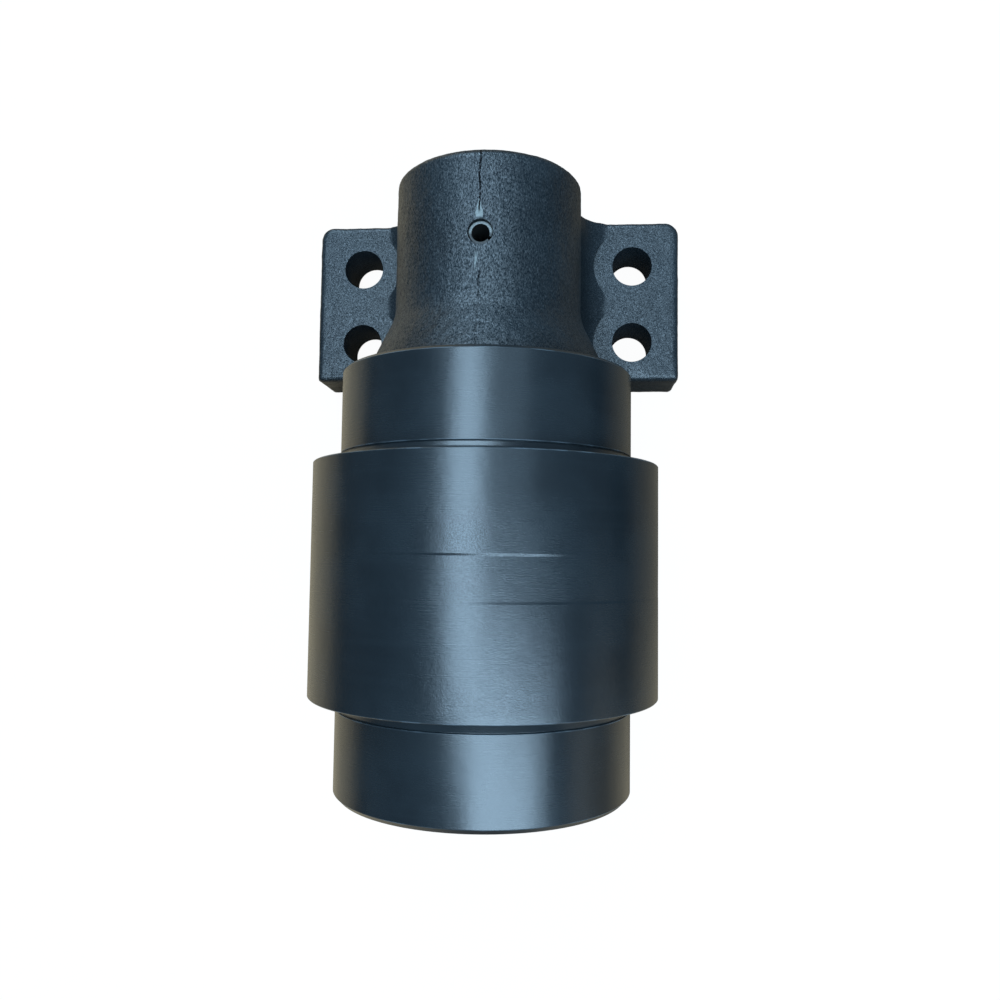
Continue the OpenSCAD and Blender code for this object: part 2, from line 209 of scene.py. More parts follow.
def add_lathe(bm, outline, segments, place=roller_point, start=0.0, sweep=2 * math.pi, closed=True):
    """Turns an outline of (radius, along) points. A part turn gets flat ends, a point on the axis a pole."""
    full = abs(sweep - 2 * math.pi) < 1e-9
    turns = segments if full else segments + 1
    angles = [start + sweep * k / segments for k in range(turns)]
    rings = []
    for radius, along in outline:
        if radius < 1e-6:
            pole = bm.verts.new(place(0, along, 0))
            rings.append([pole] * turns)
        else:
            rings.append([bm.verts.new(place(radius, along, angle)) for angle in angles])
    n = len(rings)
    for i in range(n if closed else n - 1):
        a, b = rings[i], rings[(i + 1) % n]
        if a[0] is a[1] and b[0] is b[1]:
            continue
        for k in range(segments):
            m = (k + 1) % turns
            corners = dict.fromkeys((a[k], a[m], b[m], b[k]))
            bm.faces.new(tuple(corners))
    if not full:
        bm.faces.new([r[0] for r in rings])
        bm.faces.new([r[-1] for r in reversed(rings)])
    bmesh.ops.recalc_face_normals(bm, faces=bm.faces)


def turned(name, outline, segments, **options):
    """An object turned from the outline just as it is."""
    bm = bmesh.new()
    add_lathe(bm, outline, segments, **options)
    return new_object(name, bm)


def lathe(name, outline, segments, **options):
    """An object turned from the outline with supported sides."""
    return turned(name, supported(outline, closed=options.get("closed", True)), segments, **options)


def rod(name, radius, start, end, segments, place):
    """A plain closed cylinder to cut with."""
    outline = [(0, start), (radius, start), (radius, end), (0, end)]
    return turned(name, outline, segments, place=place, closed=False)


def apply_modifiers(obj):
    """Replaces obj's mesh with what its modifiers make of it."""
    graph = bpy.context.evaluated_depsgraph_get()
    graph.update()
    mesh = bpy.data.meshes.new_from_object(obj.evaluated_get(graph))
    obj.modifiers.clear()
    old = obj.data
    obj.data = mesh
    bpy.data.meshes.remove(old)


def combine(target, operation, *others):
    """Takes the others out of target's mesh or joins them to it, and removes them."""
    for other in others:
        step = target.modifiers.new("combine", "BOOLEAN")
        step.operation = operation
        step.solver = "EXACT"
        step.object = other
        apply_modifiers(target)
        bpy.data.objects.remove(other)


# ---------------------------------------------------------------- procedural materials


class Surface:
    """A Principled material, and short ways to build the node graph behind it."""

    def __init__(self, name, **constants):
        self.material = bpy.data.materials.new(name)
        self.material.use_nodes = True
        self.tree = self.material.node_tree
        self.tree.nodes.clear()
        self.shader = self.node("ShaderNodeBsdfPrincipled")
        self.output = self.node("ShaderNodeOutputMaterial")
        self.link(self.shader.outputs["BSDF"], self.output.inputs["Surface"])
        for socket, value in constants.items():
            self.shader.inputs[socket.replace("_", " ")].default_value = value
        self.place = self.node("ShaderNodeTexCoord").outputs["Object"]

    def node(self, kind, **settings):
        """Adds a node with the given settings."""
        made = self.tree.nodes.new(kind)
        for key, value in settings.items():
            setattr(made, key, value)
        return made

    def link(self, source, target):
        self.tree.links.new(source, target)

    def feed(self, socket, value):
        """Sets a socket from a number, a colour or another socket."""
        if isinstance(value, bpy.types.NodeSocket):
            self.link(value, socket)
        else:
            socket.default_value = value

    def math(self, operation, a, b=0.0, c=0.0, clamp=False):
        """The result of a Math node on numbers or sockets."""
        made = self.node("ShaderNodeMath", operation=operation, use_clamp=clamp)
        for socket, value in zip(made.inputs, (a, b, c)):
            self.feed(socket, value)
        return made.outputs[0]

    def stretched(self, scale, offset=(0, 0, 0)):
        """Object coordinates scaled by a different number along each axis, per millimetre."""
        made = self.node("ShaderNodeMapping")
        self.link(self.place, made.inputs["Vector"])
        made.inputs["Scale"].default_value = [s / MM for s in scale]
        made.inputs["Location"].default_value = offset
        return made.outputs[0]

    def noise(self, scale, offset=(0, 0, 0), detail=2.0, roughness=0.5):
        """Noise between 0 and 1; scale is its frequency per millimetre along X, Y and Z, or one number."""
        scale = (scale,) * 3 if isinstance(scale, (int, float)) else scale
        made = self.node("ShaderNodeTexNoise")
        self.link(self.stretched(scale, offset), made.inputs["Vector"])
        made.inputs["Scale"].default_value = 1.0
        made.inputs["Detail"].default_value = detail
        made.inputs["Roughness"].default_value = roughness
        return made.outputs["Fac"]

    def axes(self):
        """The object coordinates in millimetres, one socket each."""
        split = self.node("ShaderNodeSeparateXYZ")
        self.link(self.stretched((1, 1, 1)), split.inputs[0])
        return split.outputs

    def length(self, a, b):
        """Length of a vector whose components are a and b."""
        square = self.math("ADD", self.math("MULTIPLY", a, a), self.math("MULTIPLY", b, b))
        return self.math("SQRT", square)

    def radius(self):
        """Distance from the roller's axis, in millimetres."""
        x, _, z = self.axes()
        return self.length(x, self.math("SUBTRACT", z, AXIS_Z))

    def fade(self, value, start, end, to_start=0.0, to_end=1.0):
        """Smoothly from one value to another as value goes from start to end."""
        made = self.node("ShaderNodeMapRange", interpolation_type="SMOOTHSTEP")
        for socket, given in zip(made.inputs, (value, start, end, to_start, to_end)):
            self.feed(socket, given)
        return made.outputs[0]

    def near(self, value, centre, half_width, soft):
        """1 where value is within half_width of centre, falling to 0 over soft beyond it."""
        away = self.math("ABSOLUTE", self.math("SUBTRACT", value, centre))
        return self.fade(away, half_width, half_width + soft, 1.0, 0.0)

    def product(self, *values):
        """All the values multiplied together."""
        out = values[0]
        for value in values[1:]:
            out = self.math("MULTIPLY", out, value)
        return out

    def mix(self, amount, a, b):
        """A colour between a and b, through the Mix node's own colour sockets: 6 and 7 in, 2 out."""
        made = self.node("ShaderNodeMix", data_type="RGBA")
        self.feed(made.inputs[0], amount)
        for socket, value in ((made.inputs[6], a), (made.inputs[7], b)):
            self.feed(socket, value if isinstance(value, bpy.types.NodeSocket) else (*value, 1.0))
        return made.outputs[2]

    def bump(self, height, depth, below=None):
        """Bump of a height between 0 and 1, depth millimetres deep, over an earlier bump."""
        made = self.node("ShaderNodeBump")
        made.inputs["Strength"].default_value = 1.0
        made.inputs["Distance"].default_value = depth * MM
        self.link(height, made.inputs["Height"])
        if below is not None:
            self.link(below, made.inputs["Normal"])
        return made.outputs[0]

    def finish(self, colour, roughness, normal):
        """Links what varies over the surface to the shader, and returns the material."""
        for socket, value in (("Base Color", colour), ("Roughness", roughness), ("Normal", normal)):
            self.link(value, self.shader.inputs[socket])
        return self.material


PAINT_DARK = (0.0046, 0.0075, 0.0098)
PAINT_LIGHT = (0.0078, 0.0118, 0.0148)
PAINT_WORN = (0.060, 0.078, 0.092)
PAINT_SCUFFED = (0.115, 0.128, 0.125)


def turned_paint(name, edges):
    """Semi-gloss paint over a turned surface: tool rings, grain, and rubbed edges at (radius, station)."""
    s = Surface(name, IOR=1.5)
    _, y, _ = s.axes()
    station = s.math("MULTIPLY", y, -1.0)
    radius = s.radius()
    clouds = s.noise(0.035, detail=3.0)
    rings = s.noise((0.015, 1.7, 0.015), detail=3.0, roughness=0.65)
    coarse_rings = s.noise((0.008, 0.28, 0.008), (3, 0, 1))
    grain = s.noise((1.6, 2.1, 1.6), roughness=0.55)
    waves = s.noise((0.16, 0.10, 0.16), (5, 8, 2))
    # The spray is dry and sandy on the raised part, away from its inner shoulder, and smoother elsewhere
    on_band = s.product(s.fade(station, INNER_SHOULDER + 10, INNER_SHOULDER + 28),
                        s.fade(station, OUTER_SHOULDER - 4, OUTER_SHOULDER, 1.0, 0.0))
    dry = s.product(on_band, s.fade(s.noise(0.03, (2, 5, 2)), 0.35, 0.55, 0.45, 1.0))
    sandy = s.math("MULTIPLY_ADD", dry, 0.72, 0.28)
    worn = 0.0
    for edge_radius, edge_station in edges:
        away = s.length(s.math("SUBTRACT", radius, edge_radius), s.math("SUBTRACT", station, edge_station))
        worn = s.math("MAXIMUM", worn, s.fade(away, 0.12, 0.42, 1.0, 0.0))
    patches = s.fade(s.noise((0.10, 0.6, 0.10), (7, 2, 5), detail=4.0), 0.44, 0.62)
    worn = s.math("MULTIPLY", worn, s.math("MULTIPLY_ADD", patches, 0.75, 0.25), clamp=True)
    colour = s.mix(s.fade(clouds, 0.3, 0.7), PAINT_DARK, PAINT_LIGHT)
    colour = s.mix(s.product(s.fade(coarse_rings, 0.45, 0.75), 0.35), colour, PAINT_LIGHT)
    colour = s.mix(s.product(worn, 0.8), colour, PAINT_WORN)
    rough = s.math("MULTIPLY_ADD", rings, 0.04, 0.22)
    rough = s.math("MULTIPLY_ADD", clouds, 0.06, rough)
    rough = s.math("MULTIPLY_ADD", worn, 0.10, rough)
    uneven = s.math("SUBTRACT", grain, 0.5)
    shine = s.math("MULTIPLY_ADD", uneven, s.product(sandy, 0.55), 0.5, clamp=True)
    s.link(shine, s.shader.inputs["Specular IOR Level"])
    normal = s.bump(waves, 0.07)
    normal = s.bump(rings, 0.004, normal)
    normal = s.bump(coarse_rings, 0.007, normal)
    normal = s.bump(s.product(grain, sandy), 0.06, normal)
    return s.finish(colour, rough, normal)


def cast_paint(name):
    """Satin paint over a rough casting, with a parting line and a ground patch along the boss's crown."""
    s = Surface(name, IOR=1.5)
    x, y, z = s.axes()
    clouds = s.noise(0.04, detail=3.0)
    lumps = s.noise((0.50, 0.30, 0.50), detail=3.0, roughness=0.6)
    streaks = s.noise((2.0, 0.95, 2.0), (2, 5, 1), detail=3.0, roughness=0.75)
    specks = s.noise(2.1, (4, 1, 7), detail=2.0, roughness=0.6)
    on_boss = s.fade(z, PLATE_T + 2, PLATE_T + 14)
    skin = s.math("MULTIPLY_ADD", s.math("SUBTRACT", streaks, specks), on_boss, specks)
    # Parting line: a thin dark crack that wanders along the crown, on either side of the pin
    crown = s.fade(z, AXIS_Z + 20, AXIS_Z + 30)
    wander = s.math("MULTIPLY_ADD", s.noise((0, 0.16, 0), (9, 0, 0), detail=4.0), 2.4, -1.5)
    crack = s.near(s.math("SUBTRACT", x, wander), 0.0, 0.16, 0.24)
    past_pin = s.fade(y, PIN_Y + 7, PIN_Y + 9)
    before_pin = s.fade(y, PIN_Y - 17, PIN_Y - 14, 1.0, 0.0)
    beyond_pin = s.math("MAXIMUM", past_pin, before_pin)
    fresh = s.fade(y, PIN_Y - 30, PIN_Y - 12, 0.25, 1.0)
    broken = s.fade(s.noise((0, 0.35, 0), (1, 4, 2)), 0.36, 0.5)
    crack = s.product(crack, crown, beyond_pin, broken, fresh)
    # Ground patch between the pin and the boss's end: a small ragged triangle that narrows to the end
    ragged = s.math("MULTIPLY_ADD", s.noise((0.7, 0.5, 0.7), (6, 6, 1), detail=3.0), 1.6, -0.8)
    reach = s.math("ADD", s.fade(y, PIN_Y + 5, PIN_Y + 13, 1.5, 0.3), ragged)
    off_middle = s.math("ABSOLUTE", s.math("SUBTRACT", x, -0.5))
    patch_x = s.fade(s.math("SUBTRACT", off_middle, reach), -0.25, 0.35, 1.0, 0.0)
    patch = s.product(patch_x, crown, s.near(y, PIN_Y + 9.2, 3.2, 0.7))
    # Scuffs on the pin's other side
    scuff = s.fade(s.noise((0.9, 0.22, 0.9), (3, 3, 8), detail=4.0), 0.47, 0.56)
    scuff = s.product(scuff, s.near(x, -1.3, 0.2, 0.9), s.near(y, PIN_Y - 14, 3, 4), crown)
    bright = s.math("MAXIMUM", patch, scuff)
    colour = s.mix(s.fade(clouds, 0.3, 0.7), PAINT_DARK, PAINT_LIGHT)
    colour = s.mix(s.fade(skin, 0.52, 0.72, 0.0, 0.22), colour, PAINT_WORN)
    colour = s.mix(bright, colour, PAINT_SCUFFED)
    colour = s.mix(crack, colour, (0.001, 0.0015, 0.002))
    rough = s.math("MULTIPLY_ADD", specks, 0.12, 0.27)
    rough = s.math("MULTIPLY_ADD", lumps, 0.08, rough)
    rough = s.math("MULTIPLY_ADD", bright, 0.2, rough)
    contrast = s.math("MULTIPLY_ADD", on_boss, 0.50, 0.60)
    level = s.math("MULTIPLY_ADD", on_boss, 0.07, 0.37)
    uneven = s.math("SUBTRACT", skin, 0.5)
    shine = s.math("MULTIPLY_ADD", uneven, s.product(contrast, 3.2), level, clamp=True)
    shine = s.math("MULTIPLY_ADD", shine, 0.95, 0.02)
    shine = s.product(shine, s.math("MULTIPLY_ADD", crack, -0.9, 1.0))
    s.link(shine, s.shader.inputs["Specular IOR Level"])
    normal = s.bump(lumps, 0.16)
    normal = s.bump(s.product(skin, contrast), 0.14, normal)
    normal = s.bump(s.math("SUBTRACT", 1.0, crack), 0.25, normal)
    return s.finish(colour, rough, normal)


def small_paint(name, dark=PAINT_DARK, light=PAINT_LIGHT):
    """Satin paint on the small parts, with a light orange peel and a few rubbed spots."""
    s = Surface(name, IOR=1.5)
    clouds = s.noise(0.08, detail=3.0)
    peel = s.noise(0.9, (5, 1, 1), detail=2.0)
    grain = s.noise(2.4, (1, 6, 2), detail=2.0)
    rubbed = s.fade(s.noise(0.35, (2, 2, 9), detail=5.0, roughness=0.7), 0.6, 0.74)
    colour = s.mix(s.fade(clouds, 0.3, 0.7), dark, light)
    colour = s.mix(s.product(rubbed, 0.5), colour, PAINT_WORN)
    rough = s.math("MULTIPLY_ADD", grain, 0.16, 0.32)
    normal = s.bump(grain, 0.02, s.bump(peel, 0.03))
    return s.finish(colour, rough, normal)


def metal(name, colour, shade, roughness, tool_rings=True):
    """Bare metal with tool rings about the roller's axis or, without them, a cast or drawn grain."""
    s = Surface(name, Metallic=1.0)
    clouds = s.noise(0.12, detail=4.0)
    if tool_rings:
        lines = s.noise((0.03, 2.6, 0.03), (1, 1, 4), detail=3.0, roughness=0.7)
    else:
        lines = s.noise(1.4, (1, 1, 4), detail=4.0, roughness=0.7)
    stains = s.fade(s.noise(0.25, (6, 2, 3), detail=5.0, roughness=0.7), 0.56, 0.72)
    mixed = s.mix(s.fade(clouds, 0.3, 0.7), colour, shade)
    mixed = s.mix(s.product(stains, 0.45), mixed, [c * 0.55 for c in shade])
    rough = s.math("MULTIPLY_ADD", lines, 0.18, roughness - 0.09)
    rough = s.math("MULTIPLY_ADD", stains, 0.12, rough)
    return s.finish(mixed, rough, s.bump(lines, 0.012))


def pin_finish(name):
    """Dull spring steel on the pin's end, with painted shade in its bore and a painted shadow along its near
    edge.
    """
    s = Surface(name, IOR=1.5)
    x, y, z = s.axes()
    from_axis = s.math("SUBTRACT", y, PIN_Y)
    radius = s.length(x, from_axis)
    grain = s.noise(1.6, (4, 2, 2), detail=3.0)
    bore_r = PIN_R - PIN_WALL
    # Painted shade: near black in the bore below the pin's end, and a painted shadow of the hole's wall
    # along the near edge
    bore_shade = s.product(s.fade(radius, bore_r + 0.05, bore_r + 0.2, 1.0, 0.0),
                        s.fade(z, PIN_TOP - 0.3, PIN_TOP, 1.0, 0.0))
    near_edge_shadow = s.fade(s.math("MULTIPLY_ADD", grain, 1.2, from_axis), -0.4, 1.6, 1.0, 0.0)
    painted_shade = s.math("MAXIMUM", bore_shade, near_edge_shadow)
    steel = s.mix(s.fade(grain, 0.35, 0.65), (0.085, 0.090, 0.088), (0.150, 0.158, 0.152))
    colour = s.mix(painted_shade, steel, (0.004, 0.004, 0.0035))
    rough = s.math("MULTIPLY_ADD", grain, 0.2, 0.45)
    return s.finish(colour, rough, s.bump(grain, 0.03))


def rubber(name):
    """Black nitrile with a moulded grain and a faint bloom."""
    s = Surface(name, IOR=1.47)
    grain = s.noise(1.8, detail=3.0)
    bloom = s.fade(s.noise(0.15, (3, 1, 1), detail=4.0), 0.45, 0.75)
    colour = s.mix(s.product(bloom, 0.5), (0.010, 0.010, 0.010), (0.035, 0.034, 0.033))
    rough = s.math("MULTIPLY_ADD", grain, 0.15, 0.5)
    return s.finish(colour, rough, s.bump(grain, 0.02))


# Where the shell's paint is rubbed, as (radius, station)
SHELL_EDGES = (
    (TREAD_R, SHELL_START + 1.0),
    (TREAD_R, INNER_SHOULDER - INNER_RELIEF),
    (FLANGE_R, INNER_SHOULDER + 0.2),
    (FLANGE_R, OUTER_SHOULDER - 0.2),
    (TREAD_R, OUTER_SHOULDER + OUTER_RELIEF),
    (TREAD_R, SHELL_END - 1.8),
)
LOOKS = {
    "shell_paint": turned_paint("shell_paint", SHELL_EDGES),
    "bracket_paint": cast_paint("bracket_paint"),
    "cover_paint": small_paint("cover_paint"),
    "plug_paint": small_paint("plug_paint", (0.010, 0.013, 0.017), (0.016, 0.021, 0.026)),
    "ring_steel": metal("ring_steel", (0.10, 0.11, 0.12), (0.05, 0.055, 0.06), 0.42, tool_rings=False),
    "pin_steel": pin_finish("pin_steel"),
    "ground_steel": metal("ground_steel", (0.56, 0.57, 0.58), (0.42, 0.43, 0.45), 0.26),
    "machined_steel": metal("machined_steel", (0.38, 0.39, 0.40), (0.26, 0.27, 0.28), 0.34),
    "zinc_plate": metal("zinc_plate", (0.62, 0.60, 0.54), (0.47, 0.46, 0.43), 0.32, tool_rings=False),
    "bronze": metal("bronze", (0.62, 0.42, 0.20), (0.47, 0.30, 0.14), 0.30),
    "seal_iron": metal("seal_iron", (0.34, 0.35, 0.36), (0.22, 0.23, 0.24), 0.28),
    "nitrile_rubber": rubber("nitrile_rubber"),
    "copper": metal("copper", (0.72, 0.38, 0.25), (0.52, 0.25, 0.16), 0.34),
}
SLOT_OF = {row["node"]: row["material_slot"] for row in RECORD["subparts"]}
BODY_OF = {node: body for body, nodes in RECORD["behaviour"]["bodies"].items() for node in nodes}


def dress(piece, node):
    """piece stands for a CAD node: same body, same slot, that slot's material."""
    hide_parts(node)
    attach(piece, BODY_OF[node])
    piece.data.materials.clear()
    piece.data.materials.append(LOOKS[SLOT_OF[node]])


# ---------------------------------------------------------------- roller shell


def shell_outside():
    """Treads, reliefs and raised part, from the shell's inner end to its outer one."""
    edge, fine = 0.35, 0.12
    inner_chamfer, outer_chamfer = 1.2, 2.0
    crest, crest_r = 0.35, 0.15
    foot_rise, foot_r = 1.5, 3.2
    relief_r, relief_slope = TREAD_R - 0.6, 0.35
    inner_groove = INNER_SHOULDER - INNER_RELIEF
    outer_groove = OUTER_SHOULDER + OUTER_RELIEF
    return [
        (COUNTERBORE_R + 1, SHELL_START, edge),
        (TREAD_R - inner_chamfer, SHELL_START, edge),
        (TREAD_R, SHELL_START + inner_chamfer, edge),
        (TREAD_R, inner_groove, fine),
        (relief_r, inner_groove + relief_slope, fine),
        (relief_r + foot_rise, INNER_SHOULDER, foot_r),
        (FLANGE_R - crest, INNER_SHOULDER, crest_r),
        (FLANGE_R, INNER_SHOULDER + crest, crest_r),
        (FLANGE_R, BAND_START),
        (FLANGE_R, BAND_START + STEP_W),
        (FLANGE_R, BAND_END - STEP_W),
        (FLANGE_R, BAND_END),
        (FLANGE_R, OUTER_SHOULDER - crest, crest_r),
        (FLANGE_R - crest, OUTER_SHOULDER, crest_r),
        (relief_r + foot_rise, OUTER_SHOULDER, foot_r),
        (relief_r, outer_groove - relief_slope, fine),
        (TREAD_R, outer_groove, fine),
        (TREAD_R, SHELL_END - outer_chamfer, edge),
        (TREAD_R - outer_chamfer, SHELL_END, edge),
    ]


def shell_inside():
    """Cover seat and snap ring groove, the bush seats with a recess between them, and the seal cavity."""
    edge, fine = 0.35, 0.12
    cover_r = high("end_cover", X) + 0.1
    cover_seat = -high("end_cover", Y)
    groove_r = cover_r + 2.4
    groove_start = -high("snap_ring", Y) - 0.1
    groove_end = -low("snap_ring", Y) + 0.1
    retainer_bore_r = 40.0
    bush_flange_w, bush_flange_t = 4, 3.4
    bush_r = high("inner_bush", X) - bush_flange_w + PAINT_GAP
    flange_bore_r = high("inner_bush", X) + 0.2
    seat_start = -high("inner_bush", Y) + bush_flange_t
    seat_end = -low("outer_bush", Y) - bush_flange_t
    seat_length = 34
    recess_r, recess_taper = bush_r + 2.5, 2
    cavity_r = high("seal_toric_turning", X) + 0.1
    return [
        (cover_r + 1, SHELL_END, edge),
        (cover_r, SHELL_END - 1, edge),
        (cover_r, groove_end),
        (groove_r, groove_end),
        (groove_r, groove_start),
        (cover_r, groove_start),
        (cover_r, cover_seat),
        (retainer_bore_r, cover_seat, fine),
        (retainer_bore_r, seat_end),
        (bush_r, seat_end),
        (bush_r, seat_end - seat_length),
        (recess_r, seat_end - seat_length - recess_taper),
        (recess_r, seat_start + seat_length + recess_taper),
        (bush_r, seat_start + seat_length),
        (bush_r, seat_start),
        (flange_bore_r, seat_start),
        (flange_bore_r, SEAL_FACE + SEAL_DEPTH),
        (cavity_r, SEAL_FACE + SEAL_DEPTH),
        (cavity_r, SEAL_FACE + SEAL_HALF_GAP, fine),
        (COUNTERBORE_R, SEAL_FACE + SEAL_HALF_GAP),
        (COUNTERBORE_R, SHELL_START + 1, edge),
    ]


def make_shell():
    """The whole turned shell, bores included, with its outer edges broken and the weld band pressed in."""
    shell = lathe("roller_shell_turned", rounded(shell_outside() + shell_inside()), 288)
    axis_z = AXIS_Z * MM
    for v in shell.data.vertices:
        station, up = -v.co.y / MM, v.co.z - axis_z
        angle = math.degrees(math.atan2(v.co.x, up))
        radius = math.hypot(v.co.x, up) / MM
        if radius > FLANGE_R - 0.01 and BAND_START < station < BAND_END:
            shrink = 1 - band_depth(station, angle) / radius
            v.co.x *= shrink
            v.co.z = axis_z + up * shrink
    return shell


def ramp(value, start, end):
    """0 before start, 1 after end, straight between."""
    return min(max((value - start) / (end - start), 0.0), 1.0)


def arc_mask(angle, spans):
    """1 within any span of angles, falling to 0 over its soft end."""
    return max(ramp(angle, a, a + soft) * ramp(-angle, -b, soft - b) for a, b, soft in spans)


def band_depth(station, angle):
    """The machined weld band's depth. Each of its edges shows round part of the shell, and fades out."""
    first = arc_mask(angle, ((-40, 32, 16), (95, 178, 20), (-170, -120, 14)))
    second = 0.42 * arc_mask(angle, ((-26, 88, 10), (110, 160, 20), (-165, -70, 24)))
    along = ramp(station, BAND_START + STEP_W, BAND_END - STEP_W)
    inside = ramp(station, BAND_START, BAND_START + STEP_W) * ramp(-station, -BAND_END, STEP_W - BAND_END)
    return BAND_DEPTH * inside * (first * (1 - along) + second * along)


# ---------------------------------------------------------------- bracket casting


def plate_blank(bm):
    """The plate with its corners and upper edges rounded, down to a little below the mounting face."""
    back_corner_r, front_corner_r, rim_r = 6.0, 1.5, 2.4
    back = -BOSS_END
    bottom = -3.0
    box = bmesh.ops.create_cube(bm, size=1.0)["verts"]
    bmesh.ops.scale(bm, vec=(2 * PLATE_HALF_W, back + PLATE_FRONT, PLATE_T - bottom), verts=box)
    bmesh.ops.translate(bm, vec=(0, (back - PLATE_FRONT) / 2, (PLATE_T + bottom) / 2), verts=box)

    def round_off(edges, radius, segments):
        bmesh.ops.bevel(bm, geom=edges, offset=radius, segments=segments, profile=0.5, affect="EDGES")

    def corners(at_back):
        uprights = [e for e in bm.edges if abs(e.verts[0].co.z - e.verts[1].co.z) > 1]
        return [e for e in uprights if (e.verts[0].co.y > 0) == at_back]

    round_off(corners(True), back_corner_r, 8)
    round_off(corners(False), front_corner_r, 4)
    round_off([e for e in bm.edges if all(abs(v.co.z - PLATE_T) < 1e-3 for v in e.verts)], rim_r, 5)


def pedestal_blank(bm):
    """The web below the boss, with its concave foot on each side."""
    half_w, foot_r, foot_angle = BOSS_R - 1, 19.0, 71.0
    foot_z = PLATE_T + foot_r * math.sin(math.radians(foot_angle))
    side = arc((half_w + foot_r, foot_z), foot_r, 180 + foot_angle, 180, 14)
    right = [(side[0][0], PLATE_T - 10)] + side + [(half_w, AXIS_Z)]
    outline = right + [(-x, z) for x, z in reversed(right)]
    ends = []
    for y in (-PLATE_FRONT, -BOSS_END):
        ends.append([bm.verts.new((x, y, z)) for x, z in outline])
    front, rear = ends
    n = len(outline)
    bm.faces.new(front)
    bm.faces.new(list(reversed(rear)))
    for i in range(n):
        j = (i + 1) % n
        bm.faces.new((front[j], front[i], rear[i], rear[j]))
    bmesh.ops.recalc_face_normals(bm, faces=bm.faces)


def neck_outline():
    """Boss, neck and collar as one outline to the axis."""
    fillet_r, angle, start = 24.0, 26.0, 14.0
    cone_r = BOSS_R + fillet_r * (1 - math.cos(math.radians(angle)))
    cone_station = start + fillet_r * math.sin(math.radians(angle))
    cone_end = cone_station + (COLLAR_R - cone_r) / math.tan(math.radians(angle))
    bend = arc((BOSS_R + fillet_r, start), fillet_r, 180, 180 - angle, 10)
    chamfer = 2.4
    return ([(0, BOSS_END), (BOSS_R - chamfer, BOSS_END), (BOSS_R, BOSS_END + chamfer)] + bend
            + [(COLLAR_R, cone_end), (COLLAR_R, SEAL_FACE - SEAL_HALF_GAP), (0, SEAL_FACE - SEAL_HALF_GAP)])


def melted_blanks():
    """Plate, boss, neck and pedestal melted into one skin, with soft inner corners."""
    voxel = 0.8
    bm = bmesh.new()
    plate_blank(bm)
    add_lathe(bm, supported(neck_outline(), margin=1.0, closed=False), 160, closed=False)
    pedestal_blank(bm)
    casting = new_object("bracket_casting", bm)
    skin = casting.modifiers.new("skin", "REMESH")
    skin.mode = "VOXEL"
    skin.voxel_size = voxel * MM
    soft = casting.modifiers.new("soft", "SMOOTH")
    soft.factor = 0.5
    soft.iterations = 3
    apply_modifiers(casting)
    return casting


def roughen(obj):
    """Moves the casting's skin in and out: lumps, pits, and the parting line along the boss's crown."""
    lump_depth, pit_depth, ridge_depth, ridge_w, inward = 0.14, 0.09, 0.16, 1.3, 0.04
    mesh = obj.data
    for v, normal in zip(mesh.vertices, [n.vector.copy() for n in mesh.vertex_normals]):
        p = v.co / MM
        lump = noise.fractal(p * 0.11, 1.0, 2.0, 3)
        pit = noise.fractal(Vector((p.x * 0.5, p.y * 0.3, p.z * 0.5)) + Vector((7, 3, 1)), 1.0, 2.0, 3)
        move = lump_depth * lump + pit_depth * pit - inward
        if p.z > AXIS_Z + 25 and p.y > -30:
            line_x = 0.7 * noise.noise(Vector((0.0, p.y * 0.12, 4.0)))
            ridge = math.exp(-(((p.x - line_x) / ridge_w) ** 2))
            move += ridge_depth * ridge * (0.6 + 0.4 * noise.noise(Vector((1.0, p.y * 0.5, 2.0))))
        v.co += normal * move * MM


def face_off(obj):
    """Cuts the mesh flat at the mounting face."""
    bm = bmesh.new()
    bm.from_mesh(obj.data)
    everything = bm.verts[:] + bm.edges[:] + bm.faces[:]
    bmesh.ops.bisect_plane(bm, geom=everything, dist=1e-7, plane_co=(0, 0, 0), plane_no=(0, 0, -1),
                           clear_outer=True)
    rim = [e for e in bm.edges if e.is_boundary]
    bmesh.ops.holes_fill(bm, edges=rim, sides=0)
    bmesh.ops.recalc_face_normals(bm, faces=bm.faces)
    bm.to_mesh(obj.data)
    bm.free()


def clamp_to_cad(obj, node):
    """Keeps every vertex inside the CAD node's box."""
    lowest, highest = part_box(node)
    for v in obj.data.vertices:
        v.co = [min(max(c, a), b) for c, a, b in zip(v.co, lowest, highest)]


def bracket_cutters():
    """What is machined out of the casting: bolt seats and holes, pin hole, shaft bore and seal cavity."""
    seat_r, seat_depth = 18.0, 0.12
    lead_r, rim_r = HOLE_R + 0.9, HOLE_R + 0.15
    cavity_r = high("seal_toric_fixed", X) + 0.1
    hole = [(0, -2), (lead_r, -2), (lead_r, -0.3), (HOLE_R, 0.6), (HOLE_R, PLATE_T - 0.7),
            (rim_r, PLATE_T - 0.2), (rim_r, PLATE_T + 3), (0, PLATE_T + 3)]
    bore = [(0, BOSS_END - 2), (BORE_R + 3, BOSS_END - 2), (BORE_R, BOSS_END + 1), (BORE_R, HUB_END + 2),
            (0, HUB_END + 2)]
    cavity = [(HUB_R, SEAL_FACE - SEAL_DEPTH), (cavity_r, SEAL_FACE - SEAL_DEPTH), (cavity_r, SEAL_FACE + 2),
              (HUB_R, SEAL_FACE + 2)]
    cutters = []
    for x, y in BOLT_HOLES:
        cutters.append(rod("seat_cut", seat_r, PLATE_T - seat_depth, PLATE_T + 14, 128, upright(x, y)))
    for x, y in BOLT_HOLES:
        cutters.append(turned("bolt_hole_cut", hole, 96, place=upright(x, y), closed=False))
    pin_place = upright(0, PIN_Y)
    cutters.append(rod("pin_hole_cut", PIN_HOLE_R, PIN_BOTTOM - 2, AXIS_Z + BOSS_R + 3, 96, pin_place))
    cutters.append(turned("bore_cut", bore, 160, closed=False))
    cutters.append(turned("seal_cavity_cut", cavity, 160))
    return cutters


